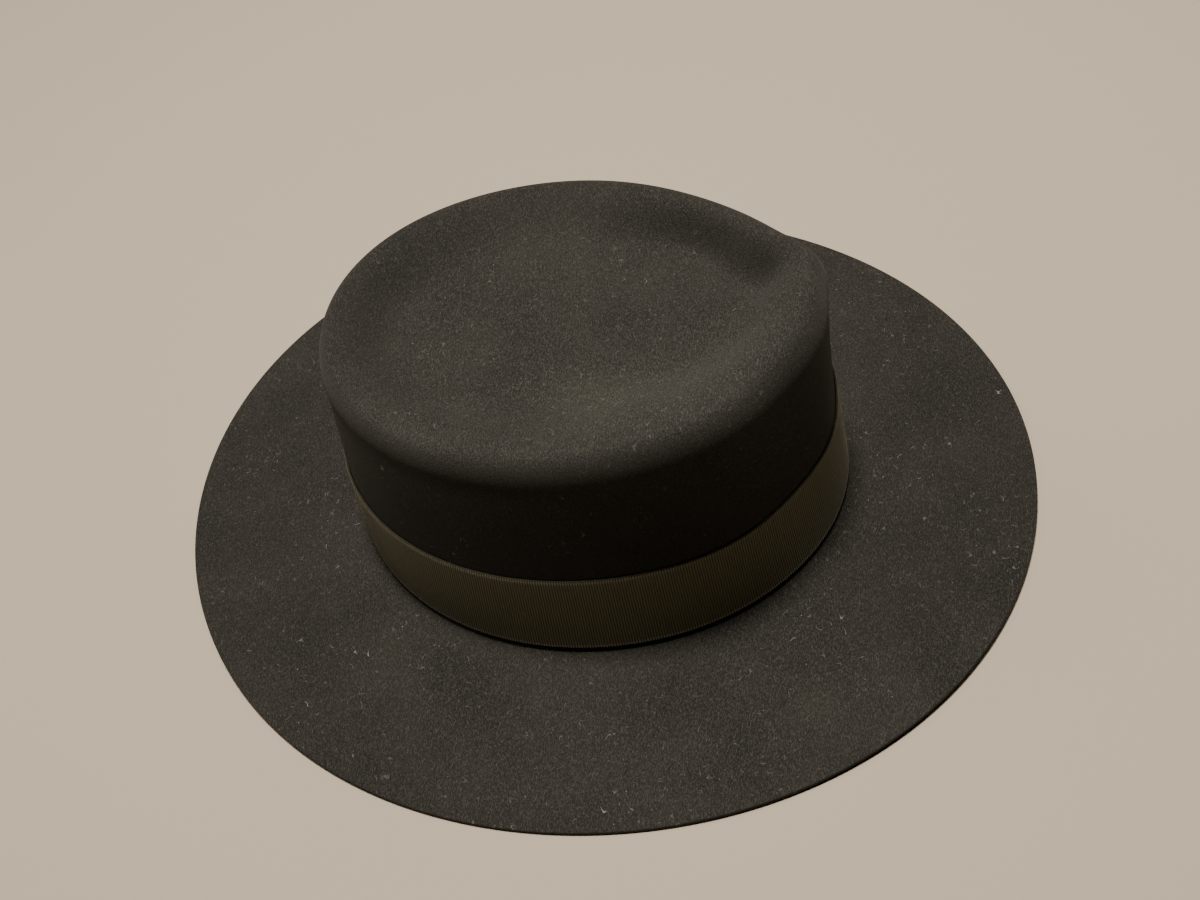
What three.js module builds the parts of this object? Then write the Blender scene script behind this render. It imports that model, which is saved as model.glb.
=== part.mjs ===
// Felt fedora: a wide, nearly flat brim and a tapered crown with a dished top and a pinched
// front, made as one hollow felt hood, with a plain ribbon around the foot of the crown.
// Millimetres, +Z up. The front faces -Y and the wearer's left is +X. The origin lies on the
// surface that the brim rests on, under the middle of the hat.
import * as THREE from "three";

// Felt hood, at the foot of the crown
const FELT_THICKNESS = 2.2;
const OVAL_HALF_LENGTH = 99.7;
const OVAL_HALF_WIDTH = 84.2;
const OVAL_EGG = 0.022; // share by which the front half is narrower than the middle

// Brim, with widths measured square to the oval
const BRIM_WIDTH = { front: 73.5, side: 68.5, back: 78.7 };
const EDGE_LIFT = { front: 2.15, side: -0.2, back: 2.15 }; // below 0 the felt is pressed flat
const BREAK_HEIGHT = 10.1; // top of the felt where the brim meets the crown
const BREAK_RADIUS = 2.5;
const BRIM_SETTLE = 0.18; // share of the width over which the brim bends into its slope
const FLAT_BAND = 6; // width of the underside's edge that lies flat on the rest surface

// Crown, with the ridge given as a share of the oval and its height above the rest surface
const RIDGE_REACH = { front: 0.867, side: 0.773, back: 0.86 };
const RIDGE_HEIGHT = { front: 117.6, side: 109.4, back: 110.2 };
const SHOULDER_DROP = 12.5;
const SHOULDER_INSET = 7.2;
// How far the wall curves inwards half way up, as four times a share of its taper
const WALL_HOLLOW = { front: 0.9, side: 0.1, back: -0.5 };
const CROWN_FORWARD = 2.2;
const CROWN_RIGHT = 1.8;

// Dished top: a slope drops from the ridge to a shallow groove around a flat middle
const DISH_DEPTH = { front: 14, side: 5.2, back: 8 };
const SLOPE_WIDTH = { front: 31, side: 31, back: 28 };
const DISH_CENTRE_HEIGHT = 103.1;

// Where the hand-creased crown leaves that even shape; angles run from the front to the left.
// Each row adds to the ridge's reach and height, the dish's depth and the slope's width.
const CREASES = [
  { place: "left of the nose", angle: 18, spread: 9, reach: 0.037, height: 0, depth: 0, width: 0 },
  { place: "left pinch", angle: 46, spread: 34, reach: -0.042, height: -2.4, depth: 3, width: -15 },
  { place: "right of the nose", angle: -27, spread: 16, reach: -0.028, height: -1.2, depth: -1, width: 0 },
  { place: "right flank", angle: -54, spread: 26, reach: 0.012, height: 2.6, depth: 1, width: 6 },
  { place: "right side", angle: -98, spread: 42, reach: -0.016, height: 1.8, depth: 1.8, width: 0 },
];

// Finger dents that lower the top under an oval bell, turned in plan from +X
const DENTS = [
  { place: "inside the left pinch", across: 20, along: -74, turn: 53, length: 14, width: 8, depth: 4 },
];
const DENT_FADE = { from: 90, to: 100 }; // heights between which the dents come in

// Ribbon around the foot of the crown, with its end lapped flat on the left side
const RIBBON_HEIGHT = 39.5;
const RIBBON_THICKNESS = 1;
const RIBBON_GAP = 0.3;
const RIBBON_ROWS = 5;
const LAP = { angle: 96, length: 13, ramp: 5, cut: 0.4, rise: 0.8 }; // angles in degrees, rise in mm

// Fineness of the faceted surfaces
const SEGMENTS = 64;
const STEPS = { dish: 5, slope: 6, shoulder: 6, wall: 10, fillet: 3, brim: 5 };

// Sizes that follow from the ones above
const OVAL_CENTRE_Y = (BRIM_WIDTH.front - BRIM_WIDTH.back) / 2;
const FOOT_HEIGHT = BREAK_HEIGHT + BREAK_RADIUS;

const radians = THREE.MathUtils.degToRad;
const lerp = THREE.MathUtils.lerp;
const smoother = (t) => THREE.MathUtils.smootherstep(t, 0, 1);

// Smooth value around the hat that meets the given ones at the front, both sides and the back
function around(angle, { front, side, back }) {
  const mean = (front + back + 2 * side) / 4;
  const first = (front - back) / 2;
  const second = (front + back - 2 * side) / 4;
  return mean + first * Math.cos(angle) + second * Math.cos(2 * angle);
}

// Bell curve around the hat, centred on an angle given in degrees
function bell(angle, centre, spread) {
  const turn = THREE.MathUtils.euclideanModulo(angle - radians(centre) + Math.PI, 2 * Math.PI);
  return Math.exp(-(((turn - Math.PI) / radians(spread)) ** 2));
}

function creased(angle, values, key) {
  const extra = CREASES.map((row) => row[key] * bell(angle, row.angle, row.spread));
  return around(angle, values) + extra.reduce((sum, value) => sum + value, 0);
}

// Head oval in plan, before the crown's shift: +Y is the back
function oval(angle) {
  const narrowing = 1 - OVAL_EGG * Math.cos(angle);
  const x = OVAL_HALF_WIDTH * Math.sin(angle) * narrowing;
  const y = -OVAL_HALF_LENGTH * Math.cos(angle);
  return new THREE.Vector2(x, y);
}

function ovalNormal(angle) {
  const step = 1e-4;
  const along = oval(angle + step).sub(oval(angle - step));
  return new THREE.Vector2(along.y, -along.x).normalize();
}

// Point of the crown: the oval scaled by a share, at a height, shifted with the crown's rise
function crownPoint(angle, share, height, rise) {
  const plan = oval(angle).multiplyScalar(share);
  const x = plan.x - CROWN_RIGHT * rise;
  const y = plan.y + OVAL_CENTRE_Y - CROWN_FORWARD * rise;
  return new THREE.Vector3(x, y, height);
}

// Ridge, wall top and groove at one angle, as shares of the oval and heights
function crownSection(angle) {
  const size = oval(angle).length();
  const ridge = creased(angle, RIDGE_REACH, "reach");
  const ridgeHeight = creased(angle, RIDGE_HEIGHT, "height");
  return {
    ridge,
    ridgeHeight,
    wallTop: ridge + SHOULDER_INSET / size,
    wallTopHeight: ridgeHeight - SHOULDER_DROP,
    groove: ridge - creased(angle, SLOPE_WIDTH, "width") / size,
    grooveHeight: ridgeHeight - creased(angle, DISH_DEPTH, "depth"),
  };
}

// The skin's zones, from the middle of the dish to the edge of the brim; t runs from 0 to 1
function dish(angle, t) {
  const { groove, grooveHeight } = crownSection(angle);
  return crownPoint(angle, groove * t, lerp(DISH_CENTRE_HEIGHT, grooveHeight, smoother(t)), 1);
}

function slope(angle, t) {
  const { ridge, groove, ridgeHeight, grooveHeight } = crownSection(angle);
  const height = lerp(grooveHeight, ridgeHeight, smoother(t));
  return crownPoint(angle, lerp(groove, ridge, t), height, 1);
}

function shoulder(angle, t) {
  const { ridge, wallTop, wallTopHeight } = crownSection(angle);
  const turn = (t * Math.PI) / 2;
  const share = lerp(ridge, wallTop, Math.sin(turn));
  return crownPoint(angle, share, wallTopHeight + SHOULDER_DROP * Math.cos(turn), 1);
}

function wallAtRise(angle, rise) {
  const { wallTop, wallTopHeight } = crownSection(angle);
  const taper = rise + around(angle, WALL_HOLLOW) * rise * (1 - rise);
  const height = lerp(FOOT_HEIGHT, wallTopHeight, rise);
  return crownPoint(angle, lerp(1, wallTop, taper), height, rise);
}

function wall(angle, t) {
  return wallAtRise(angle, 1 - t);
}

// Point outside the oval by a distance square to it
function brimPoint(angle, distance, height) {
  const plan = oval(angle).addScaledVector(ovalNormal(angle), distance);
  return new THREE.Vector3(plan.x, plan.y + OVAL_CENTRE_Y, height);
}

function fillet(angle, t) {
  const turn = (t * Math.PI) / 2;
  const distance = BREAK_RADIUS * (1 - Math.cos(turn));
  return brimPoint(angle, distance, FOOT_HEIGHT - BREAK_RADIUS * Math.sin(turn));
}

function brim(angle, t) {
  const width = around(angle, BRIM_WIDTH);
  const edgeHeight = around(angle, EDGE_LIFT) + FELT_THICKNESS;
  const bend = Math.hypot(t, BRIM_SETTLE) - BRIM_SETTLE;
  const fall = bend / (Math.hypot(1, BRIM_SETTLE) - BRIM_SETTLE);
  return brimPoint(angle, lerp(BREAK_RADIUS, width, t), lerp(BREAK_HEIGHT, edgeHeight, fall));
}

// Point of the wall where the ribbon lies, stood off square to the oval
function ribbonPoint(angle, height, standOff) {
  const rise = (height - FOOT_HEIGHT) / (crownSection(angle).wallTopHeight - FOOT_HEIGHT);
  const normal = ovalNormal(angle);
  const point = wallAtRise(angle, rise);
  return point.add(new THREE.Vector3(normal.x, normal.y, 0).multiplyScalar(standOff));
}

// How far the finger dents lower a point of the crown
function dentDrop(point) {
  const drops = DENTS.map((dent) => {
    const near = new THREE.Vector2(point.x - dent.across, point.y - dent.along);
    near.rotateAround(new THREE.Vector2(), -radians(dent.turn));
    return dent.depth * Math.exp(-((near.x / dent.length) ** 2) - (near.y / dent.width) ** 2);
  });
  const high = THREE.MathUtils.inverseLerp(DENT_FADE.from, DENT_FADE.to, point.z);
  const total = drops.reduce((sum, value) => sum + value, 0);
  return total * THREE.MathUtils.clamp(high, 0, 1);
}

const evenAngles = Array.from({ length: SEGMENTS }, (_, i) => (i * 2 * Math.PI) / SEGMENTS);

function ring(angles, place) {
  return angles.map((angle) => place(angle));
}

function zoneRings(zone, steps, firstStep) {
  const count = steps + 1 - firstStep;
  return Array.from({ length: count }, (_, i) => {
    const t = (i + firstStep) / steps;
    return ring(evenAngles, (angle) => zone(angle, t));
  });
}

// Triangles between neighbouring rings of equal length, counted from the first vertex index
function bandIndices(ringCount, ringLength, first, closesOnItself) {
  const indices = [];
  const bands = closesOnItself ? ringCount : ringCount - 1;
  for (let r = 0; r < bands; r += 1) {
    const here = first + r * ringLength;
    const next = first + ((r + 1) % ringCount) * ringLength;
    for (let i = 0; i < ringLength; i += 1) {
      const j = (i + 1) % ringLength;
      indices.push(here + i, next + i, next + j, here + i, next + j, here + j);
    }
  }
  return indices;
}

// Surface from a pole through the rings, and to a second pole if one is given
function cappedSurface(rings, firstPole, lastPole) {
  const length = rings[0].length;
  const points = [firstPole, ...rings.flat()];
  const indices = bandIndices(rings.length, length, 1, false);
  const last = points.length - length;
  if (lastPole) points.push(lastPole);
  for (let i = 0; i < length; i += 1) {
    const j = (i + 1) % length;
    indices.push(0, 1 + i, 1 + j);
    if (lastPole) indices.push(points.length - 1, last + j, last + i);
  }
  return new THREE.BufferGeometry().setFromPoints(points).setIndex(indices);
}

// Underside of the skin: every point moved in by the felt's thickness, and none below the
// rest surface
function innerPoints(skin) {
  skin.computeVertexNormals();
  const { position, normal } = skin.attributes;
  return Array.from({ length: position.count }, (_, i) => {
    const inward = new THREE.Vector3().fromBufferAttribute(normal, i);
    const point = new THREE.Vector3().fromBufferAttribute(position, i);
    point.addScaledVector(inward, -FELT_THICKNESS);
    point.z = Math.max(point.z, 0);
    return point;
  });
}

// Edge of the brim: the underside just inside it lies flat, level with the bottom corner
function edgeRings() {
  const floorHeight = (angle) => Math.max(around(angle, EDGE_LIFT), 0);
  const corner = ring(evenAngles, (angle) => {
    return brimPoint(angle, around(angle, BRIM_WIDTH), floorHeight(angle));
  });
  const band = ring(evenAngles, (angle) => {
    return brimPoint(angle, around(angle, BRIM_WIDTH) - FLAT_BAND, floorHeight(angle));
  });
  return [corner, band];
}

function feltBodyGeometry() {
  const outer = [
    ...zoneRings(dish, STEPS.dish, 1),
    ...zoneRings(slope, STEPS.slope, 1),
    ...zoneRings(shoulder, STEPS.shoulder, 1),
    ...zoneRings(wall, STEPS.wall, 1),
    ...zoneRings(fillet, STEPS.fillet, 1),
    ...zoneRings(brim, STEPS.brim, 1),
  ];
  outer.flat().forEach((point) => {
    point.z -= dentDrop(point);
  });
  const top = dish(0, 0);
  const [innerTop, ...innerFlat] = innerPoints(cappedSurface(outer, top));
  const inner = outer.map((_, r) => innerFlat.slice(r * SEGMENTS, (r + 1) * SEGMENTS));
  const underside = inner.slice(0, -1).reverse();
  return cappedSurface([...outer, ...edgeRings(), ...underside], top, innerTop);
}

// How far the lapped end stands over the ribbon: a cut step, a flat lap, then a ramp
function lapRise(angle) {
  const degrees = THREE.MathUtils.radToDeg(angle);
  const up = THREE.MathUtils.clamp((degrees - LAP.angle) / LAP.cut, 0, 1);
  const rampStart = LAP.angle + LAP.cut + LAP.length;
  const down = THREE.MathUtils.clamp((degrees - rampStart) / LAP.ramp, 0, 1);
  return LAP.rise * up * (1 - down);
}

function ribbonAngles() {
  const cutEnd = LAP.angle + LAP.cut;
  const lapEdges = [LAP.angle, cutEnd, cutEnd + LAP.length, cutEnd + LAP.length + LAP.ramp];
  const angles = [...evenAngles, ...lapEdges.map((degrees) => radians(degrees))];
  return angles.sort((a, b) => a - b);
}

function ribbonGeometry() {
  const angles = ribbonAngles();
  const rows = Array.from({ length: RIBBON_ROWS }, (_, i) => {
    return FOOT_HEIGHT + (RIBBON_HEIGHT * i) / (RIBBON_ROWS - 1);
  });
  const outside = rows.map((height) => {
    return ring(angles, (angle) => {
      return ribbonPoint(angle, height, RIBBON_GAP + RIBBON_THICKNESS + lapRise(angle));
    });
  });
  const inside = rows.map((height) => {
    return ring(angles, (angle) => ribbonPoint(angle, height, RIBBON_GAP));
  });
  const rings = [...outside.reverse(), ...inside];
  const indices = bandIndices(rings.length, angles.length, 0, true);
  return new THREE.BufferGeometry().setFromPoints(rings.flat()).setIndex(indices);
}

function namedMesh(name, geometry, color, roughness) {
  const material = new THREE.MeshStandardMaterial({ color, roughness, metalness: 0 });
  const mesh = new THREE.Mesh(geometry, material);
  mesh.name = name;
  return mesh;
}

const fedora = new THREE.Group();
fedora.add(namedMesh("felt_body", feltBodyGeometry(), 0x2e2c2a, 0.95));
fedora.add(namedMesh("hat_band", ribbonGeometry(), 0x262319, 0.7));

export default fedora;
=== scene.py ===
"""Blender scene of a wide-brimmed felt fedora with a ribbed ribbon around its crown.

The hat's front faces -Y and the wearer's left is +X. Lengths are in metres. Angles around the
hat are counted in radians from the front towards the wearer's left.
"""

import logging
import math
from dataclasses import dataclass, field
from enum import Enum

import bpy
import numpy as np
from mathutils import Matrix, Vector


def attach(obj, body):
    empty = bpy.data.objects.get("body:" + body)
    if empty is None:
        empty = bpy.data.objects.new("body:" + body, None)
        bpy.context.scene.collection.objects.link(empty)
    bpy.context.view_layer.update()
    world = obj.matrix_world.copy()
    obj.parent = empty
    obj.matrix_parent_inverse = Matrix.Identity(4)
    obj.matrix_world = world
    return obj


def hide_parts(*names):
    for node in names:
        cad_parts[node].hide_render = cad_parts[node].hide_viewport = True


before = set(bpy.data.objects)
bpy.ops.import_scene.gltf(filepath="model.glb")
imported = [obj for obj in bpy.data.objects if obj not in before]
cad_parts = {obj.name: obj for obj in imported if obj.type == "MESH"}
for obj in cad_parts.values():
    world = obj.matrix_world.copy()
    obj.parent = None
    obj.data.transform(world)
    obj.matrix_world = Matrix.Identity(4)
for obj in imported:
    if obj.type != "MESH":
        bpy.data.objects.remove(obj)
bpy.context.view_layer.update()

LOG = logging.getLogger("fedora")
MM = 0.001
IMAGE_WIDTH_PX = 1200
SENSOR_WIDTH_MM = 36.0
CLOTH_GLOSS = 0.15
SKIN_ZONES = ("dish", "slope", "shoulder", "wall", "fillet", "brim")

Array = np.ndarray


def smoother(t: Array) -> Array:
    """Rises from 0 to 1 with level ends: six t to the fifth, less fifteen t to the fourth,
    plus ten t cubed."""
    return t**3 * (t * (6.0 * t - 15.0) + 10.0)


def lerp(start: Array, end: Array, t: Array) -> Array:
    """Straight blend from start to end as t runs from 0 to 1."""
    return start + (end - start) * t


def turn_from(centre_deg: float, angle: Array) -> Array:
    """Turn from a centre to each angle, the short way around the hat."""
    return (angle - math.radians(centre_deg) + math.pi) % (2.0 * math.pi) - math.pi


@dataclass(frozen=True)
class Around:
    """A smooth value around the hat that meets the given ones at the front, sides and back.

    The formula is the mean, plus half the front's lead over the back times the angle's cosine,
    plus a term in twice the angle that sets the sides.
    """

    front: float
    side: float
    back: float

    def at(self, angle: Array) -> Array:
        """Value at each angle.

        Args:
            angle: angles around the hat.

        Returns:
            The values, in the shape of the angles.
        """
        mean = (self.front + self.back + 2.0 * self.side) / 4.0
        first = (self.front - self.back) / 2.0
        second = (self.front + self.back - 2.0 * self.side) / 4.0
        return mean + first * np.cos(angle) + second * np.cos(2.0 * angle)


@dataclass(frozen=True)
class Crease:
    """A place where the hand-creased crown leaves its even shape.

    Each value is added under a bell curve in the angle, centred here.
    """

    place: str
    angle_deg: float
    spread_deg: float
    reach: float
    height: float
    depth: float
    width: float

    def bell(self, angle: Array) -> Array:
        """Bell curve: e to the minus square of the turn from the centre over the spread."""
        far = turn_from(self.angle_deg, angle) / math.radians(self.spread_deg)
        return np.exp(-(far**2))


@dataclass(frozen=True)
class Dent:
    """A finger dent in the dished top, an oval bell in plan."""

    place: str
    across: float
    along: float
    turn_deg: float
    length: float
    width: float
    depth: float
    starts: float = 90.0 * MM
    blend: float = 10.0 * MM

    def drop(self, points: Array) -> Array:
        """How far the dent lowers each point.

        The depth fades with e to the minus square of the distance over the length, and over
        the width the other way. It grows from nothing at the height where the dent starts to
        its full value at the blend's height above that.

        Args:
            points: points, with x, y and z last.

        Returns:
            One drop for each point, none below the height where the dent starts.
        """
        turn = math.radians(self.turn_deg)
        x = points[..., 0] - self.across
        y = points[..., 1] - self.along
        far = (x * math.cos(turn) + y * math.sin(turn)) / self.length
        wide = (y * math.cos(turn) - x * math.sin(turn)) / self.width
        high = np.clip((points[..., 2] - self.starts) / self.blend, 0.0, 1.0)
        return self.depth * np.exp(-(far**2) - wide**2) * high


@dataclass(frozen=True)
class Groove:
    """A faint line pressed into the slope of the dish, along the ridge."""

    place: str
    angle_deg: float
    spread_deg: float
    share: float
    width: float
    depth: float
    bow: float = 0.06

    def drop(self, angle: Array, t: Array) -> Array:
        """How far the groove lowers each point of the slope.

        The depth fades with e to the minus square of the distance from the groove's share of
        the slope over its width, and to the minus fourth power of the turn over the spread.
        That share grows by the bow times the square of the turn over the spread.

        Args:
            angle: angles around the hat.
            t: shares of the slope, from the dish to the ridge.

        Returns:
            One drop for each point.
        """
        far = turn_from(self.angle_deg, angle) / math.radians(self.spread_deg)
        line = self.share + self.bow * far**2
        return self.depth * np.exp(-(((t - line) / self.width) ** 2) - far**4)


@dataclass(frozen=True)
class PaintedShadingPatch:
    """A patch of painted light and shade: the felt's colour made lighter or darker to stand in for
    how light falls.

    Places from the middle out are counted in zones: 0 to 1 in the dish, 1 to 2 on its slope,
    2 to 3 on the shoulder, 3 to 4 on the wall, 4 to 5 in the bend and 5 to 6 on the brim.
    """

    place: str
    angle_deg: float
    spread_deg: float
    line: float
    width: float
    share: float

    def at(self, angle: Array, line: Array) -> Array:
        """Painted light and shade at each point.

        It fades with e to the minus square of the turn over the spread, and of the distance
        outwards over the width.

        Args:
            angle: angles around the hat.
            line: places from the middle out, in zones.

        Returns:
            One share for each point, above 0 for painted light and below 0 for painted shade.
        """
        far = turn_from(self.angle_deg, angle) / math.radians(self.spread_deg)
        return self.share * np.exp(-(far**2) - ((line - self.line) / self.width) ** 2)


@dataclass(frozen=True)
class CrownSection:
    """Shares of the oval and heights of the crown's lines, one value for each angle."""

    ridge: Array
    ridge_height: Array
    wall_top: Array
    wall_top_height: Array
    groove: Array
    groove_height: Array


def grid_mesh(name: str, rings: Array, first_pole: Array | None, last_pole: Array | None,
              closes_on_itself: bool = False) -> bpy.types.Object:
    """Makes a closed mesh from rings of points, in quads, with fans at the poles.

    Args:
        name: name of the new object and mesh.
        rings: points, shaped (rings, points in a ring, 3).
        first_pole: point that closes the first ring, or None.
        last_pole: point that closes the last ring, or None.
        closes_on_itself: whether the last ring joins the first one.

    Returns:
        The new object, linked to the scene and smooth shaded.
    """
    count, length = rings.shape[:2]
    rows = np.arange(count if closes_on_itself else count - 1)
    around_ring = np.arange(length)
    here = rows[:, None] * length + around_ring[None, :]
    below = (rows[:, None] + 1) % count * length + around_ring[None, :]
    quads = np.stack([here, below, np.roll(below, -1, axis=1), np.roll(here, -1, axis=1)], -1)
    points = [rings.reshape(-1, 3)]
    faces = [quads.reshape(-1, 4).tolist()]
    start = count * length
    after = np.roll(around_ring, -1)
    if first_pole is not None:
        points.append(first_pole[None, :])
        fan = np.stack([np.full(length, start), around_ring, after], -1)
        faces.append(fan.tolist())
        start += 1
    if last_pole is not None:
        points.append(last_pole[None, :])
        last_ring = (count - 1) * length
        fan = np.stack([np.full(length, start), last_ring + after, last_ring + around_ring], -1)
        faces.append(fan.tolist())
    mesh = bpy.data.meshes.new(name)
    mesh.from_pydata(np.concatenate(points), [], [face for part in faces for face in part])
    mesh.validate()
    mesh.polygons.foreach_set("use_smooth", np.ones(len(mesh.polygons), dtype=bool))
    mesh.update()
    piece = bpy.data.objects.new(name, mesh)
    bpy.context.scene.collection.objects.link(piece)
    return piece


def set_point_values(piece: bpy.types.Object, name: str, values: Array) -> None:
    """Stores one number for each point of a mesh.

    Args:
        piece: the object whose mesh gets the values.
        name: the attribute's name.
        values: as many values as the mesh has points, in the points' order.
    """
    attribute = piece.data.attributes.new(name, "FLOAT", "POINT")
    attribute.data.foreach_set("value", np.ascontiguousarray(values, dtype=np.float32).ravel())


@dataclass
class Hood:
    """The felt hood, crown and brim in one piece, hollow underneath.

    The egg, the brim's settle, the ridge's reach and the wall's hollow are shares, the edge's
    squareness is a power, and the other values are lengths. Where the edge's lift is below
    zero, the felt is pressed flat on the floor.
    """

    felt: float = 2.2 * MM
    half_length: float = 99.7 * MM
    half_width: float = 84.2 * MM
    egg: float = 0.022
    brim_width: Around = Around(73.5 * MM, 68.5 * MM, 78.7 * MM)
    edge_lift: Around = Around(2.15 * MM, -0.2 * MM, 2.15 * MM)
    break_height: float = 10.1 * MM
    break_radius: float = 2.5 * MM
    brim_settle: float = 0.18
    edge_radius: float = 0.8 * MM
    edge_squareness: float = 3.6
    ridge_reach: Around = Around(0.867, 0.773, 0.86)
    ridge_height: Around = Around(117.6 * MM, 109.4 * MM, 110.2 * MM)
    shoulder_drop: float = 12.5 * MM
    shoulder_inset: float = 7.2 * MM
    wall_hollow: Around = Around(0.9, 0.1, -0.5)
    crown_forward: float = 2.2 * MM
    crown_right: float = 1.8 * MM
    dish_depth: Around = Around(14.0 * MM, 5.2 * MM, 8.0 * MM)
    slope_width: Around = Around(31.0 * MM, 31.0 * MM, 28.0 * MM)
    dish_centre_height: float = 103.1 * MM
    creases: tuple[Crease, ...] = (
        Crease("left of the nose", 18, 9, 0.037, 0.0, 0.0, 0.0),
        Crease("left pinch", 46, 34, -0.042, -2.4 * MM, 3.0 * MM, -15.0 * MM),
        Crease("right of the nose", -27, 16, -0.028, -1.2 * MM, -1.0 * MM, 0.0),
        Crease("right flank", -54, 26, 0.012, 2.6 * MM, 1.0 * MM, 6.0 * MM),
        Crease("right side", -98, 42, -0.016, 1.8 * MM, 1.8 * MM, 0.0),
    )
    dents: tuple[Dent, ...] = (
        Dent("inside the left pinch", 20 * MM, -74 * MM, 53, 14 * MM, 8 * MM, 4.0 * MM),
    )
    grooves: tuple[Groove, ...] = (
        Groove("inside the right rim", -91, 44, 0.75, 0.05, 0.55 * MM),
    )
    # Painted light and shade: patches that make the felt's colour lighter or darker.
    felt_tone: tuple[PaintedShadingPatch, ...] = (
        PaintedShadingPatch("inside the front right rim", -34, 42, 1.42, 0.45, 0.46),
        PaintedShadingPatch("foot of the right slope", -95, 35, 1.05, 0.3, 0.15),
        PaintedShadingPatch("right shoulder", -116, 30, 2.2, 0.3, 0.28),
        PaintedShadingPatch("right wall", -95, 95, 3.5, 0.5, -0.3),
        PaintedShadingPatch("inside the back rim", 178, 32, 1.65, 0.4, -0.32),
        PaintedShadingPatch("inside the left rim", 100, 45, 1.8, 0.6, -0.1),
        PaintedShadingPatch("tip of the nose", 6, 26, 2.1, 0.5, -0.1),
        PaintedShadingPatch("brim, right side", -70, 55, 5.6, 0.6, 0.12),
        PaintedShadingPatch("brim, back", 178, 50, 5.6, 0.6, -0.12),
        PaintedShadingPatch("brim, front", 12, 45, 5.6, 0.6, -0.1),
    )
    segments: int = 432
    steps: dict[str, int] = field(default_factory=lambda: {
        "dish": 14, "slope": 40, "shoulder": 16, "wall": 12, "fillet": 5, "brim": 20, "edge": 9,
    })

    @property
    def centre_y(self) -> float:
        """Y of the oval's centre, which puts the brim's bounding box in the middle."""
        return (self.brim_width.front - self.brim_width.back) / 2.0

    @property
    def foot_height(self) -> float:
        """Height at which the crown's wall starts."""
        return self.break_height + self.break_radius

    def creased(self, angle: Array, values: Around, key: str) -> Array:
        """Even value around the hat, plus each crease's own value under its bell curve."""
        extra = sum(getattr(crease, key) * crease.bell(angle) for crease in self.creases)
        return values.at(angle) + extra

    def oval(self, angle: Array) -> Array:
        """Head oval in plan: an ellipse that narrows towards the front.

        Args:
            angle: angles around the hat.

        Returns:
            One point for each angle, with x and y last.
        """
        narrowing = 1.0 - self.egg * np.cos(angle)
        across = self.half_width * np.sin(angle) * narrowing
        along = -self.half_length * np.cos(angle)
        return np.stack([across, along], -1)

    def oval_normal(self, angle: Array) -> Array:
        """Outward unit normal of the oval: its tangent turned a quarter to the outside.

        Args:
            angle: angles around the hat.

        Returns:
            One normal for each angle, with x and y last.
        """
        step = 1e-4
        along = self.oval(angle + step) - self.oval(angle - step)
        along /= np.linalg.norm(along, axis=-1, keepdims=True)
        return np.stack([along[..., 1], -along[..., 0]], -1)

    def section(self, angle: Array) -> CrownSection:
        """Ridge, wall top and groove of the crown.

        Args:
            angle: angles around the hat.

        Returns:
            The lines' shares of the oval and their heights at those angles.
        """
        size = np.linalg.norm(self.oval(angle), axis=-1)
        ridge = self.creased(angle, self.ridge_reach, "reach")
        ridge_height = self.creased(angle, self.ridge_height, "height")
        return CrownSection(
            ridge=ridge,
            ridge_height=ridge_height,
            wall_top=ridge + self.shoulder_inset / size,
            wall_top_height=ridge_height - self.shoulder_drop,
            groove=ridge - self.creased(angle, self.slope_width, "width") / size,
            groove_height=ridge_height - self.creased(angle, self.dish_depth, "depth"),
        )

    def crown_point(self, angle: Array, share: Array, height: Array, rise: Array) -> Array:
        """Oval scaled by a share, at a height, shifted forward and right with the rise.

        Args:
            angle: angles around the hat.
            share: shares of the oval.
            height: heights over the floor.
            rise: shares of the way up the wall, 1 on the top.

        Returns:
            One point for each angle, with x, y and z last.
        """
        plan = self.oval(angle) * share[..., None]
        across = plan[..., 0] - self.crown_right * rise
        along = plan[..., 1] + self.centre_y - self.crown_forward * rise
        return np.stack(np.broadcast_arrays(across, along, height), -1)

    def brim_point(self, angle: Array, distance: Array, height: Array) -> Array:
        """Oval moved out square to itself by a distance, at a height.

        Args:
            angle: angles around the hat.
            distance: distances from the oval.
            height: heights over the floor.

        Returns:
            One point for each angle, with x, y and z last.
        """
        plan = self.oval(angle) + self.oval_normal(angle) * distance[..., None]
        along = plan[..., 1] + self.centre_y
        return np.stack(np.broadcast_arrays(plan[..., 0], along, height), -1)

    def dish(self, angle: Array, t: Array) -> Array:
        """Middle of the dished top: from the centre's height to the groove's, smoothly.

        Args:
            angle: angles around the hat.
            t: shares of the zone, from the inside out.

        Returns:
            One point for each angle, with x, y and z last.
        """
        s = self.section(angle)
        height = lerp(self.dish_centre_height, s.groove_height, smoother(t))
        return self.crown_point(angle, s.groove * t, height, np.ones_like(t))

    def slope(self, angle: Array, t: Array) -> Array:
        """Slope of the dish: from its foot up to the ridge, level at both ends.

        Args:
            angle: angles around the hat.
            t: shares of the zone, from the inside out.

        Returns:
            One point for each angle, with x, y and z last.
        """
        s = self.section(angle)
        height = lerp(s.groove_height, s.ridge_height, smoother(t))
        height = height - sum(groove.drop(angle, t) for groove in self.grooves)
        return self.crown_point(angle, lerp(s.groove, s.ridge, t), height, np.ones_like(t))

    def shoulder(self, angle: Array, t: Array) -> Array:
        """Quarter of an ellipse from the level ridge to the steep wall.

        Args:
            angle: angles around the hat.
            t: shares of the zone, from the inside out.

        Returns:
            One point for each angle, with x, y and z last.
        """
        s = self.section(angle)
        turn = t * math.pi / 2.0
        share = lerp(s.ridge, s.wall_top, np.sin(turn))
        height = s.wall_top_height + self.shoulder_drop * np.cos(turn)
        return self.crown_point(angle, share, height, np.ones_like(t))

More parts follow.
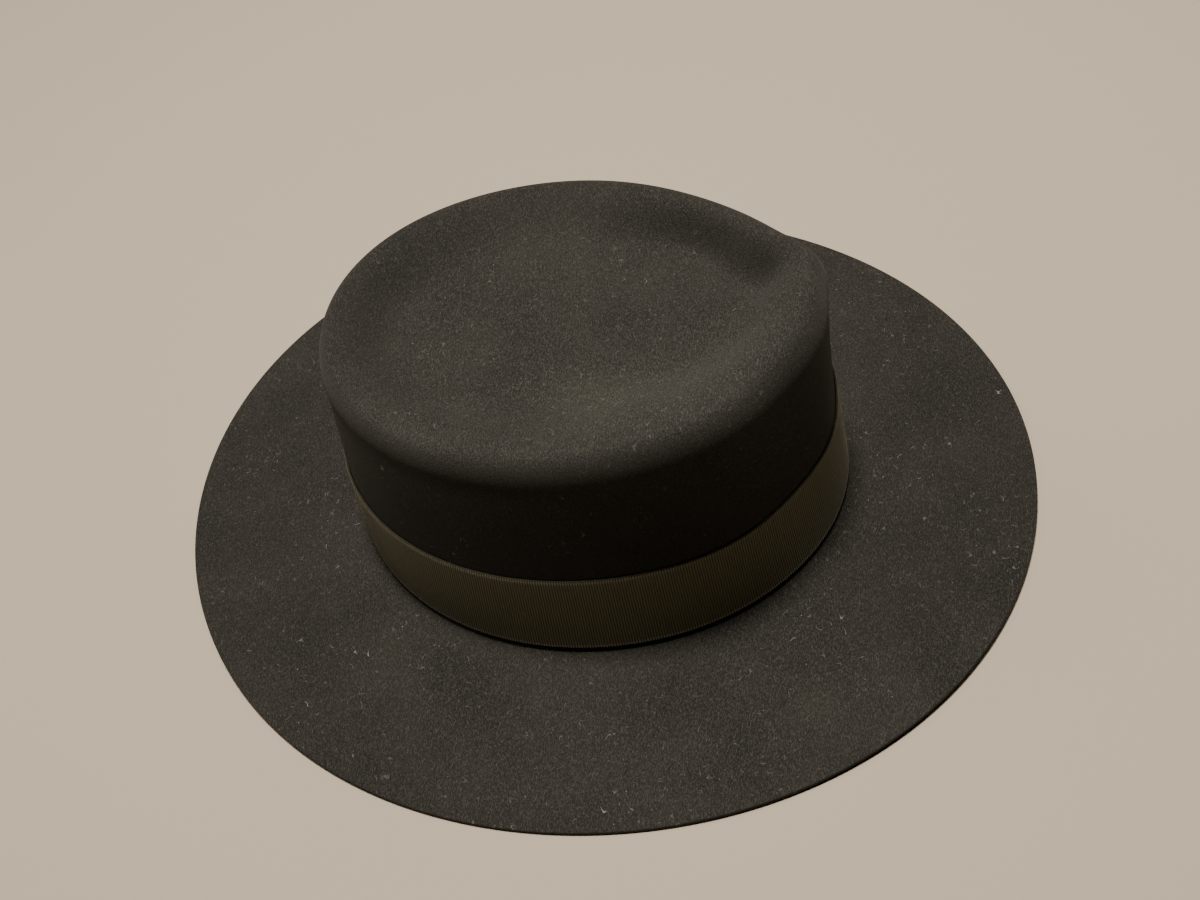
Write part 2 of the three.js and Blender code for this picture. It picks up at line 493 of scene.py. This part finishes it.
    def wall_at_rise(self, angle: Array, rise: Array) -> Array:
        """Tapered wall, drawn in under the ribbon's top, at a share of its rise.

        Args:
            angle: angles around the hat.
            rise: shares of the way up the wall.

        Returns:
            One point for each angle, with x, y and z last.
        """
        s = self.section(angle)
        taper = rise + self.wall_hollow.at(angle) * rise * (1.0 - rise)
        height = lerp(self.foot_height, s.wall_top_height, rise)
        return self.crown_point(angle, lerp(1.0, s.wall_top, taper), height, rise)

    def wall(self, angle: Array, t: Array) -> Array:
        """The same wall, from its top down to its foot."""
        return self.wall_at_rise(angle, 1.0 - t)

    def fillet(self, angle: Array, t: Array) -> Array:
        """Quarter circle from the foot of the wall out to the brim.

        Args:
            angle: angles around the hat.
            t: shares of the zone, from the inside out.

        Returns:
            One point for each angle, with x, y and z last.
        """
        turn = t * math.pi / 2.0
        distance = self.break_radius * (1.0 - np.cos(turn))
        height = self.foot_height - self.break_radius * np.sin(turn)
        return self.brim_point(angle, distance, height)

    def brim(self, angle: Array, t: Array) -> Array:
        """Brim: it bends off level along a hyperbola, then falls straight to its edge.

        Args:
            angle: angles around the hat.
            t: shares of the zone, from the inside out.

        Returns:
            One point for each angle, with x, y and z last.
        """
        end = self.brim_width.at(angle) - self.edge_radius
        edge_height = self.edge_lift.at(angle) + self.felt
        bend = np.hypot(t, self.brim_settle) - self.brim_settle
        fall = bend / (math.hypot(1.0, self.brim_settle) - self.brim_settle)
        height = lerp(self.break_height, edge_height, fall)
        return self.brim_point(angle, lerp(self.break_radius, end, t), height)

    def edge(self, angle: Array, t: Array) -> Array:
        """Raw cut edge: half a squared-off ellipse from the top of the felt to its underside.

        Args:
            angle: angles around the hat.
            t: shares of the zone, from the top down.

        Returns:
            One point for each angle, with x, y and z last.
        """
        top = self.edge_lift.at(angle) + self.felt
        bottom = np.maximum(self.edge_lift.at(angle), 0.0)
        turn = (0.5 - t) * math.pi
        power = 2.0 / self.edge_squareness
        out = self.edge_radius * np.abs(np.cos(turn)) ** power
        up = np.sign(np.sin(turn)) * np.abs(np.sin(turn)) ** power
        distance = self.brim_width.at(angle) - self.edge_radius + out
        return self.brim_point(angle, distance, (top + bottom) / 2.0 + up * (top - bottom) / 2.0)

    def angles(self) -> Array:
        """Even angles around the hat, as one row."""
        return np.linspace(0.0, 2.0 * math.pi, self.segments, endpoint=False)[None, :]

    def zone(self, name: str) -> Array:
        """Grid of one zone of the skin, without the ring that it shares with the one before.

        Args:
            name: the zone's method and the key of its number of steps.

        Returns:
            Points, shaped (rings, segments, 3).
        """
        t = np.linspace(0.0, 1.0, self.steps[name] + 1)[1:, None]
        angle, t = np.broadcast_arrays(self.angles(), t)
        return getattr(self, name)(angle, t)

    def skin(self) -> Array:
        """Rings of the outside, from the middle of the dish to the top of the brim's edge."""
        rings = np.concatenate([self.zone(name) for name in SKIN_ZONES])
        rings[..., 2] -= sum(dent.drop(rings) for dent in self.dents)
        return rings

    def underside(self, skin: Array) -> Array:
        """Skin moved in by the felt's thickness along its normal, and never below the floor.

        Args:
            skin: rings of the outside.

        Returns:
            Rings of the inside, in the same order.
        """
        down = np.gradient(skin, axis=0)
        across = np.roll(skin, -1, axis=1) - np.roll(skin, 1, axis=1)
        normal = np.cross(down, across)
        normal /= np.linalg.norm(normal, axis=-1, keepdims=True)
        inner = skin - normal * self.felt
        inner[..., 2] = np.maximum(inner[..., 2], 0.0)
        return inner

    def build(self) -> bpy.types.Object:
        """Makes the felt piece: the skin, the cut edge and the underside as one closed mesh.

        Returns:
            The closed mesh object.
        """
        skin = self.skin()
        inner = self.underside(skin)
        rings = np.concatenate([skin, self.zone("edge"), inner[-2::-1]])
        centre = self.crown_point(np.zeros(1), np.zeros(1), np.full(1, self.dish_centre_height),
                                  np.ones(1))[0]
        under_centre = centre - np.array([0.0, 0.0, self.felt])
        piece = grid_mesh("felt_hood", rings, centre, under_centre)
        # Each point of the skin carries its painted light and shade for the material; the other
        # points get none.
        shading_paint = np.zeros(len(piece.data.vertices))
        shares = self.painted_shading_shares()
        shading_paint[:shares.size] = shares.ravel()
        set_point_values(piece, "painted_shading", shading_paint)
        return piece

    def painted_shading_shares(self) -> Array:
        """Painted light and shade on the rings of the skin, the patches' sum.

        Returns:
            One share for each point, shaped (rings, segments).
        """
        lines = [np.linspace(0.0, 1.0, self.steps[name] + 1)[1:] + i
                 for i, name in enumerate(SKIN_ZONES)]
        line = np.concatenate(lines)[:, None]
        return sum(patch.at(self.angles(), line) for patch in self.felt_tone)


@dataclass
class Ribbon:
    """Ribbed ribbon around the foot of the crown, lapped flat on the left side.

    The edge's thinning, the lap's inside, the painted shade at the upper selvedge and the painted
    highlight of the upper loops are shares.
    """

    hood: Hood
    height: float = 39.5 * MM
    thickness: float = 0.75 * MM
    gap: float = 0.3 * MM
    ribs: int = 559
    columns_per_rib: int = 6
    rib_relief: float = 0.2 * MM
    scallop: float = 0.4 * MM
    edge_thinning: float = 0.75
    flare: float = 0.35 * MM
    foot_lift: float = 0.5 * MM
    lap_angle_deg: float = 96.0
    lap_length_deg: float = 13.0
    lap_ramp_deg: float = 5.0
    lap_cut_deg: float = 0.4
    lap_rise: float = 0.8 * MM
    lap_inside: float = 0.6
    upper_painted_shade: float = 0.8
    upper_loop_highlight: float = 0.1
    selvedge_rows: tuple[float, ...] = (0.0, 0.3 * MM, 0.7 * MM, 1.2 * MM, 1.9 * MM)
    middle_rows: int = 7
    oval_steps: int = 4000

    def lap(self, angle: Array) -> Array:
        """Rise of the lapped end: a cut step up, a flat lap, then a ramp down.

        Args:
            angle: angles around the hat.

        Returns:
            One rise for each angle.
        """
        degrees = np.degrees(angle)
        up = np.clip((degrees - self.lap_angle_deg) / self.lap_cut_deg, 0.0, 1.0)
        ramp = self.lap_angle_deg + self.lap_cut_deg + self.lap_length_deg
        down = np.clip((degrees - ramp) / self.lap_ramp_deg, 0.0, 1.0)
        return self.lap_rise * up * (1.0 - down)

    def point(self, angle: Array, height: Array, stand_off: Array) -> Array:
        """Point of the crown's wall at a height, moved out square to the oval.

        Args:
            angle: angles around the hat.
            height: heights over the floor.
            stand_off: distances from the wall.

        Returns:
            One point for each angle, with x, y and z last.
        """
        top = self.hood.section(angle).wall_top_height
        rise = (height - self.hood.foot_height) / (top - self.hood.foot_height)
        normal = self.hood.oval_normal(angle)
        place = self.hood.wall_at_rise(angle, rise)
        place[..., :2] += normal * stand_off[..., None]
        return place

    def columns(self) -> tuple[Array, Array]:
        """Angles of the columns, evenly spaced along the oval, and their place in a rib.

        Returns:
            The angles, and the phase of each column in its rib in radians.
        """
        fine = np.linspace(0.0, 2.0 * math.pi, self.oval_steps + 1)
        oval = self.hood.oval(fine)
        length = np.concatenate([[0.0], np.cumsum(np.linalg.norm(np.diff(oval, axis=0), axis=1))])
        count = self.ribs * self.columns_per_rib
        share = np.arange(count) / count
        angle = np.interp(share * length[-1], length, fine)
        phase = 2.0 * math.pi * np.arange(count) / self.columns_per_rib
        return angle, phase

    def build(self) -> bpy.types.Object:
        """Makes the ribbon.

        Across the ribbon the outside is a row of round ribs: the relief times the square root
        of the sine of half the phase. Each rib ends at the selvedges in a small scallop, and
        the ribbon thins there with the square root of one less a share of the nearness cubed.
        The lower selvedge turns outwards over the brim's bend, with the square of its nearness.

        Returns:
            The closed mesh object.
        """
        angle, phase = self.columns()
        rib = np.sqrt(np.abs(np.sin(phase / 2.0)))[None, :]
        up = self.row_heights()[::-1, None]
        from_edge = np.minimum(up, self.height - up)
        near_edge = np.clip(1.0 - from_edge / self.selvedge_rows[-1], 0.0, 1.0)
        away = np.where(up > self.height / 2.0, 1.0, -1.0)
        lift = self.foot_lift * (1.0 - up / self.height)
        height = self.hood.foot_height + up + lift + away * self.scallop * (rib - 1.0) * near_edge
        rounding = np.sqrt(1.0 - self.edge_thinning * near_edge**3)
        turn = np.broadcast_to(angle[None, :], height.shape)
        stand_off = self.gap + self.lap(turn) + (self.thickness + self.rib_relief * rib) * rounding
        lower = np.where(up < self.height / 2.0, near_edge, 0.0)
        stand_off += self.flare * lower**2
        outside = self.point(turn, height, stand_off)
        lap_behind = self.lap_inside * self.lap(turn[:2])
        inside = self.point(turn[:2], height[[-1, 0]], self.gap + lap_behind)
        piece = grid_mesh("ribbon_band", np.concatenate([outside, inside]), None, None, True)
        # The rib value is painted shade in the grooves between the ribs and painted highlight on
        # their crests.
        upper = near_edge - lower
        # Painted shade along the upper selvedge dims the rib value there.
        shown = rib * (1.0 - self.upper_painted_shade * upper**4)
        light = np.concatenate([shown, np.zeros((2, len(angle)))])
        set_point_values(piece, "rib", light)
        # Painted highlight on the selvedge loops, full at the lower edge and weaker at the upper
        # one.
        edge = np.concatenate([lerp(lower, near_edge, self.upper_loop_highlight), np.zeros((2, 1))])
        set_point_values(piece, "selvedge", np.broadcast_to(edge, light.shape))
        return piece

    def row_heights(self) -> Array:
        """Heights over the ribbon's foot of its rows, close together at both selvedges.

        Returns:
            The heights, from the foot up.
        """
        low = np.array(self.selvedge_rows)
        middle = np.linspace(low[-1], self.height - low[-1], self.middle_rows + 2)[1:-1]
        return np.concatenate([low, middle, (self.height - low)[::-1]])


class Shade(Enum):
    """Colours of the finishes, the lamps and the surround, as linear red, green and blue."""

    FELT = (0.0066, 0.0063, 0.0053)
    FELT_LIGHT = (0.0195, 0.0187, 0.0153)
    FIBRE = (0.062, 0.0595, 0.05)
    # The ribbon's colours run from painted shade in the rib grooves to painted highlight on the rib
    # crests.
    RIBBON_SHADED = (0.02, 0.0188, 0.011)
    RIBBON_LIT = (0.127, 0.117, 0.067)
    # Painted highlight of the selvedge loops.
    SELVEDGE_HIGHLIGHT = (0.4, 0.38, 0.29)
    LINT = (0.42, 0.4, 0.36)
    SHEEN = (0.92, 0.88, 0.8)
    FLOOR = (0.34, 0.292, 0.226)
    LAMP = (1.0, 0.93, 0.84)
    SURROUND = (1.0, 0.95, 0.88)

    @property
    def rgba(self) -> tuple[float, float, float, float]:
        """The colour with full opacity."""
        return (*self.value, 1.0)


@dataclass
class Graph:
    """A node tree with short ways to add and link its nodes."""

    tree: bpy.types.NodeTree

    def add(self, kind: str, sockets: dict[str | int, object] | None = None,
            **properties: object) -> bpy.types.Node:
        """Adds a node.

        Args:
            kind: the node's class name without the word ShaderNode.
            sockets: a value or an output to link, by input name or number.
            properties: node properties by name.

        Returns:
            The new node.
        """
        made = self.tree.nodes.new(f"ShaderNode{kind}")
        for key, value in properties.items():
            setattr(made, key, value)
        for key, value in (sockets or {}).items():
            self.put(made.inputs[key], value)
        return made

    def put(self, socket: bpy.types.NodeSocket, value: object) -> None:
        """Links an output to an input, or sets the input to a value.

        Args:
            socket: the input.
            value: the output or the value.
        """
        if isinstance(value, bpy.types.NodeSocket):
            self.tree.links.new(value, socket)
        else:
            socket.default_value = value

    def math(self, operation: str, first: object, second: object = 0.0) -> bpy.types.NodeSocket:
        """Output of a maths node on two values or outputs."""
        return self.add("Math", {0: first, 1: second}, operation=operation).outputs[0]

    def ramp(self, value: object, low: float, high: float, start: float = 0.0,
             end: float = 1.0) -> bpy.types.NodeSocket:
        """Output that goes from start to end as the value goes from low to high."""
        sockets = {"Value": value, "From Min": low, "From Max": high, "To Min": start, "To Max": end}
        return self.add("MapRange", sockets).outputs["Result"]

    def noise(self, place: object, scale: object, detail: float = 2.0,
              rough: float = 0.5) -> bpy.types.NodeSocket:
        """Output of a noise texture, about 0.5 on average."""
        sockets = {"Vector": place, "Scale": scale, "Detail": detail, "Roughness": rough}
        return self.add("TexNoise", sockets).outputs["Fac"]

    def blend(self, share: object, low: object, high: object) -> bpy.types.NodeSocket:
        """Output colour between two colours or outputs."""
        sockets = {0: share, 6: low, 7: high}
        return self.add("Mix", sockets, data_type="RGBA").outputs[2]


def new_group(name: str, inputs: dict[str, str], outputs: dict[str, str]) -> Graph:
    """Makes an empty node group.

    Args:
        name: the group's name.
        inputs: socket kind by input name.
        outputs: socket kind by output name.

    Returns:
        The group as a graph.
    """
    group = bpy.data.node_groups.new(name, "ShaderNodeTree")
    for way, sockets in (("INPUT", inputs), ("OUTPUT", outputs)):
        for socket, kind in sockets.items():
            group.interface.new_socket(socket, in_out=way, socket_type=f"NodeSocket{kind}")
    return Graph(group)


@dataclass(frozen=True)
class Specks:
    """Soft discs in the middle of random cells, each with a random strength.

    The scale is in cells for each metre. A disc ends at the rim and is full within the core,
    both as shares of a cell. The last value is the share of the cells that stay empty.
    """

    scale: float
    rim: float
    core: float
    empty: float

    def mask(self, graph: Graph, place: bpy.types.NodeSocket) -> bpy.types.NodeSocket:
        """Adds the discs to a graph.

        Args:
            graph: the graph that gets the nodes.
            place: output that gives the place.

        Returns:
            The output with the discs.
        """
        cells = graph.add("TexVoronoi", {"Vector": place, "Scale": self.scale})
        luck = graph.add("SeparateColor", {"Color": cells.outputs["Color"]}).outputs["Red"]
        disc = graph.ramp(cells.outputs["Distance"], self.rim, self.core)
        return graph.math("MULTIPLY", disc, graph.ramp(luck, self.empty, 1.0))


@dataclass(frozen=True)
class Hairs:
    """Short curled hairs: the contour of a noise at its middle, cut off by specks.

    The scale is in waves for each metre, and the width is how far from its middle the noise
    still counts. A hair is full over the middle third of its width.
    """

    scale: float
    width: float
    pieces: Specks

    def mask(self, graph: Graph, place: bpy.types.NodeSocket) -> bpy.types.NodeSocket:
        """Adds the hairs to a graph.

        Args:
            graph: the graph that gets the nodes.
            place: output that gives the place.

        Returns:
            The output with the hairs.
        """
        contour = graph.math("SUBTRACT", graph.noise(place, self.scale, detail=0.0), 0.5)
        line = graph.ramp(graph.math("ABSOLUTE", contour), self.width, self.width / 3.0)
        return graph.math("MULTIPLY", self.pieces.mask(graph, place), line)


@dataclass(frozen=True)
class Lint:
    """Light lint that any dark fabric picks up: dots, short curled hairs and faint fuzz.

    All lie closer together in some places, and show less the higher they are on the hat.
    """

    dots: Specks = Specks(420.0, 0.12, 0.06, 0.78)
    hairs: Hairs = Hairs(230.0, 0.012, Specks(190.0, 0.3, 0.24, 0.55))
    fuzz: Hairs = Hairs(460.0, 0.045, Specks(330.0, 0.38, 0.2, 0.3))
    fuzz_show: float = 0.42
    crowd_scale: float = 32.0
    crowd_range: tuple[float, float] = (0.42, 0.6)
    sparse_show: float = 0.25
    fade_heights: tuple[float, float] = (30.0 * MM, 100.0 * MM)
    top_show: float = 0.5

    def group(self) -> bpy.types.NodeTree:
        """Builds the node group.

        Returns:
            The node group, with a mask as its output.
        """
        graph = new_group("lint", {"Vector": "Vector"}, {"Mask": "Float"})
        place = graph.tree.nodes.new("NodeGroupInput").outputs["Vector"]
        end = graph.tree.nodes.new("NodeGroupOutput")
        strong = graph.math("MAXIMUM", self.dots.mask(graph, place), self.hairs.mask(graph, place))
        faint = graph.math("MULTIPLY", self.fuzz.mask(graph, place), self.fuzz_show)
        patchy = graph.noise(place, self.crowd_scale)
        crowd = graph.ramp(patchy, *self.crowd_range, start=self.sparse_show)
        height = graph.add("SeparateXYZ", {0: place}).outputs["Z"]
        fading = graph.ramp(height, *self.fade_heights, start=1.0, end=self.top_show)
        whole = graph.math("MAXIMUM", strong, faint)
        share = graph.math("MULTIPLY", crowd, fading)
        graph.put(end.inputs["Mask"], graph.math("MULTIPLY", whole, share))
        return graph.tree


@dataclass(frozen=True)
class Nap:
    """Matted fibres: three layers of streaks laid across each other, and a fine grain.

    A layer is a noise stretched along its own direction, of which only the peaks show. It is
    given by its turn in degrees and its scale in waves for each metre.
    """

    layers: tuple[tuple[float, float], ...] = ((12.0, 2900.0), (74.0, 2500.0), (131.0, 3300.0))
    tilt: tuple[float, float] = (0.25, 0.2)
    stretch: float = 0.3
    peaks: tuple[float, float] = (0.57, 0.8)
    grain_scale: float = 1900.0

    def group(self) -> bpy.types.NodeTree:
        """Builds the node group.

        Returns:
            The node group, with a streak mask and a fine grain as its outputs.
        """
        graph = new_group("felt_tone", {"Vector": "Vector"}, {"Fibres": "Float", "Grain": "Float"})
        place = graph.tree.nodes.new("NodeGroupInput").outputs["Vector"]
        end = graph.tree.nodes.new("NodeGroupOutput")
        fibres = 0.0
        for turn_deg, scale in self.layers:
            turned = graph.add("Mapping", {"Vector": place,
                                           "Rotation": (*self.tilt, math.radians(turn_deg)),
                                           "Scale": (self.stretch, 1.0, 1.0)})
            streaks = graph.ramp(graph.noise(turned.outputs[0], scale, detail=1.0), *self.peaks)
            fibres = graph.math("MAXIMUM", fibres, streaks)
        graph.put(end.inputs["Fibres"], fibres)
        graph.put(end.inputs["Grain"], graph.noise(place, self.grain_scale, detail=3.0, rough=0.65))
        return graph.tree


def fabric_shader(graph: Graph, colour: object, normal: object, roughness: float,
                  sheen: float, sheen_roughness: float) -> None:
    """Adds the cloth shader and the material output.

    Args:
        graph: the material's graph.
        colour: output that gives the base colour.
        normal: output that gives the shading normal.
        roughness: roughness of the weak gloss.
        sheen: weight of the fuzz that catches the light.
        sheen_roughness: roughness of that fuzz.
    """
    shader = graph.add("BsdfPrincipled", {
        "Base Color": colour, "Normal": normal, "Roughness": roughness,
        "Specular IOR Level": CLOTH_GLOSS, "Sheen Weight": sheen, "Sheen Roughness": sheen_roughness,
        "Sheen Tint": Shade.SHEEN.rgba,
    })
    graph.add("OutputMaterial", {"Surface": shader.outputs["BSDF"]})


def empty_material(name: str) -> tuple[bpy.types.Material, Graph]:
    """Makes a material without nodes.

    Args:
        name: the material's name.

    Returns:
        The material and its graph.
    """
    material = bpy.data.materials.new(name)
    material.use_nodes = True
    material.node_tree.nodes.clear()
    return material, Graph(material.node_tree)


@dataclass(frozen=True)
class FeltFinish:
    """Matte wool felt: mottled black, light fibres, lint and a soft fuzz.

    Its colour is also made lighter or darker by the felt's own point value of painted light and
    shade.
    """

    grain_middle: float = 0.725
    grain_contrast: float = 0.15
    cloud_scale: float = 26.0
    cloud_show: float = 0.45
    fibre_show: float = 0.65
    lint_show: float = 0.46
    bump: float = 0.4
    bump_height: float = 0.15 * MM
    roughness: float = 0.95
    sheen: float = 0.03
    sheen_roughness: float = 0.6

    def material(self, felt_tone: bpy.types.NodeTree, lint: bpy.types.NodeTree) -> bpy.types.Material:
        """Builds the material.

        Args:
            felt_tone: node group of the matted fibres.
            lint: node group of the lint.

        Returns:
            The material.
        """
        material, graph = empty_material("black_felt")
        place = graph.add("TexCoord").outputs["Object"]
        fibres = graph.add("Group", node_tree=felt_tone)
        graph.put(fibres.inputs["Vector"], place)
        specks = graph.add("Group", node_tree=lint)
        graph.put(specks.inputs["Vector"], place)
        patchy = graph.noise(place, self.cloud_scale, detail=4.0, rough=0.6)
        cloud = graph.math("MULTIPLY", patchy, self.cloud_show)
        tone = graph.math("ADD", fibres.outputs["Grain"], cloud)
        share = graph.ramp(tone, self.grain_middle - self.grain_contrast,
                           self.grain_middle + self.grain_contrast)
        base = graph.blend(share, Shade.FELT.rgba, Shade.FELT_LIGHT.rgba)
        shown = graph.math("MULTIPLY", fibres.outputs["Fibres"], self.fibre_show)
        fibred = graph.blend(shown, base, Shade.FIBRE.rgba)
        # Painted light and shade: the colour is scaled by one plus the felt's own point value.
        shading_paint = graph.add("Attribute", attribute_name="painted_shading").outputs["Fac"]
        shaded_colour = graph.add("VectorMath", {0: fibred, "Scale": graph.math("ADD", shading_paint, 1.0)},
                         operation="SCALE").outputs["Vector"]
        dusted = graph.math("MULTIPLY", specks.outputs["Mask"], self.lint_show)
        colour = graph.blend(dusted, shaded_colour, Shade.LINT.rgba)
        height = graph.math("ADD", fibres.outputs["Fibres"], fibres.outputs["Grain"])
        bump = graph.add("Bump", {"Strength": self.bump, "Distance": self.bump_height,
                                  "Height": height})
        fabric_shader(graph, colour, bump.outputs["Normal"], self.roughness, self.sheen,
                      self.sheen_roughness)
        return material


@dataclass(frozen=True)
class RibbonFinish:
    """Ribbed ribbon: painted shade between the ribs, painted highlight on their crests and on the
    loops along the selvedges.
    """

    rib_shading_range: tuple[float, float] = (0.3, 1.0)
    loop_highlight_range: tuple[float, float] = (0.55, 0.95)
    weave_scale: float = 1600.0
    slub: float = 0.35
    lint_show: float = 0.2
    bump: float = 0.3
    bump_height: float = 0.1 * MM
    roughness: float = 0.55
    sheen: float = 0.1
    sheen_roughness: float = 0.35

    def material(self, lint: bpy.types.NodeTree) -> bpy.types.Material:
        """Builds the material, which reads the ribbon's own "rib" and "selvedge" values.

        Args:
            lint: node group of the lint.

        Returns:
            The material.
        """
        material, graph = empty_material("ribbed_ribbon")
        place = graph.add("TexCoord").outputs["Object"]
        specks = graph.add("Group", node_tree=lint)
        graph.put(specks.inputs["Vector"], place)
        rib = graph.add("Attribute", attribute_name="rib").outputs["Fac"]
        selvedge = graph.add("Attribute", attribute_name="selvedge").outputs["Fac"]
        weave = graph.noise(place, self.weave_scale)
        uneven = graph.math("MULTIPLY", graph.math("SUBTRACT", weave, 0.5), 2.0 * self.slub)
        # Painted shade in the grooves between the ribs and painted highlight on their crests, made
        # uneven by the weave.
        share = graph.math("ADD", graph.ramp(rib, *self.rib_shading_range), uneven)
        base = graph.blend(share, Shade.RIBBON_SHADED.rgba, Shade.RIBBON_LIT.rgba)
        # Painted highlight on the selvedge loops, strongest on the rib crests.
        edge = graph.math("MULTIPLY", selvedge, graph.ramp(rib, *self.loop_highlight_range))
        loop_highlighted = graph.blend(edge, base, Shade.SELVEDGE_HIGHLIGHT.rgba)
        dusted = graph.math("MULTIPLY", specks.outputs["Mask"], self.lint_show)
        colour = graph.blend(dusted, loop_highlighted, Shade.LINT.rgba)
        bump = graph.add("Bump", {"Strength": self.bump, "Distance": self.bump_height,
                                  "Height": weave})
        fabric_shader(graph, colour, bump.outputs["Normal"], self.roughness, self.sheen,
                      self.sheen_roughness)
        return material


@dataclass(frozen=True)
class Lamp:
    """A square soft lamp: the direction from the hat to it, its side and its power."""

    name: str
    towards: tuple[float, float, float]
    size: float
    watts: float


@dataclass
class Studio:
    """Plain pale floor, soft light and the camera."""

    azimuth_deg: float = 290.565
    elevation_deg: float = 52.8
    roll_deg: float = -15.133
    distance: float = 0.5684
    focal_px: float = 1358.2
    target: tuple[float, float, float] = (9.48 * MM, -0.54 * MM, 8.65 * MM)
    clip_start: float = 10.0 * MM
    floor_size: float = 3.0
    floor_roughness: float = 0.9
    lamps: tuple[Lamp, ...] = (
        Lamp("key", (0.075, 0.0, 1.0), 0.2, 45.5),
        Lamp("back", (0.1, 0.8, 1.0), 0.8, 6.5),
        Lamp("front", (0.5, -0.5, 1.0), 0.6, 3.5),
    )
    light_distance: float = 1.5
    ambient: float = 0.004
    backdrop: float = 0.5

    def add_camera(self) -> None:
        """Camera on a sphere around the target, turned about its own axis by the roll."""
        turn = math.radians(self.azimuth_deg)
        lift = math.radians(self.elevation_deg)
        back = Vector((math.sin(turn) * math.cos(lift), -math.cos(turn) * math.cos(lift),
                       math.sin(lift)))
        right = Vector((math.cos(turn), math.sin(turn), 0.0))
        up = back.cross(right)
        roll = math.radians(self.roll_deg)
        right_rolled = right * math.cos(roll) + up * math.sin(roll)
        up_rolled = up * math.cos(roll) - right * math.sin(roll)
        data = bpy.data.cameras.new("camera")
        data.sensor_width = SENSOR_WIDTH_MM
        data.lens = self.focal_px / IMAGE_WIDTH_PX * SENSOR_WIDTH_MM
        data.clip_start = self.clip_start
        camera = bpy.data.objects.new("camera", data)
        turned = Matrix((right_rolled, up_rolled, back)).transposed().to_4x4()
        turned.translation = Vector(self.target) + back * self.distance
        camera.matrix_world = turned
        bpy.context.scene.collection.objects.link(camera)
        bpy.context.scene.camera = camera

    def add_floor(self) -> None:
        """Level square floor under the hat."""
        half = self.floor_size / 2.0
        corners = [(-half, -half, 0.0), (half, -half, 0.0), (half, half, 0.0), (-half, half, 0.0)]
        mesh = bpy.data.meshes.new("floor")
        mesh.from_pydata(corners, [], [(0, 1, 2, 3)])
        floor = bpy.data.objects.new("floor", mesh)
        material = bpy.data.materials.new("pale_floor")
        material.use_nodes = True
        shader = material.node_tree.nodes["Principled BSDF"]
        shader.inputs["Base Color"].default_value = Shade.FLOOR.rgba
        shader.inputs["Roughness"].default_value = self.floor_roughness
        mesh.materials.append(material)
        bpy.context.scene.collection.objects.link(floor)

    def add_lamp(self, lamp: Lamp) -> None:
        """Adds a lamp that faces the hat.

        Args:
            lamp: its name, direction, side and power.
        """
        direction = Vector(lamp.towards).normalized()
        data = bpy.data.lights.new(lamp.name, "AREA")
        data.energy = lamp.watts
        data.size = lamp.size
        data.color = Shade.LAMP.value
        placed = bpy.data.objects.new(lamp.name, data)
        placed.location = direction * self.light_distance
        placed.rotation_euler = direction.to_track_quat("Z", "Y").to_euler()
        bpy.context.scene.collection.objects.link(placed)

    def add_light(self) -> None:
        """A key lamp almost overhead, weak ones at the back and front, and a dim surround.

        The surround lights the hat dimly, and is pale where it is seen past the floor.
        """
        for lamp in self.lamps:
            self.add_lamp(lamp)
        world = bpy.data.worlds.new("surround")
        world.use_nodes = True
        world.node_tree.nodes.clear()
        graph = Graph(world.node_tree)
        seen = graph.add("LightPath").outputs["Is Camera Ray"]
        strength = graph.ramp(seen, 0.0, 1.0, self.ambient, self.backdrop)
        sky = graph.add("Background", {"Color": Shade.SURROUND.rgba, "Strength": strength})
        graph.add("OutputWorld", {"Surface": sky.outputs["Background"]})
        bpy.context.scene.world = world


def dress(piece: bpy.types.Object, material: bpy.types.Material, cad_node: str) -> None:
    """Gives a piece its material and body, and hides the CAD node that it replaces.

    Args:
        piece: the finished piece.
        material: its material.
        cad_node: name of the node that it replaces.
    """
    piece.data.materials.append(material)
    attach(piece, "root")
    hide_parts(cad_node)
    triangles = sum(len(face.vertices) - 2 for face in piece.data.polygons)
    LOG.info("%s: %d triangles", piece.name, triangles)


def main() -> None:
    """Builds the studio and the hat."""
    logging.basicConfig(level=logging.INFO, format="%(name)s %(message)s")
    studio = Studio()
    studio.add_camera()
    studio.add_floor()
    studio.add_light()
    lint = Lint().group()
    hood = Hood()
    dress(hood.build(), FeltFinish().material(Nap().group(), lint), "felt_body")
    ribbon = Ribbon(hood)
    dress(ribbon.build(), RibbonFinish().material(lint), "hat_band")


if __name__ == "__main__":
    main()
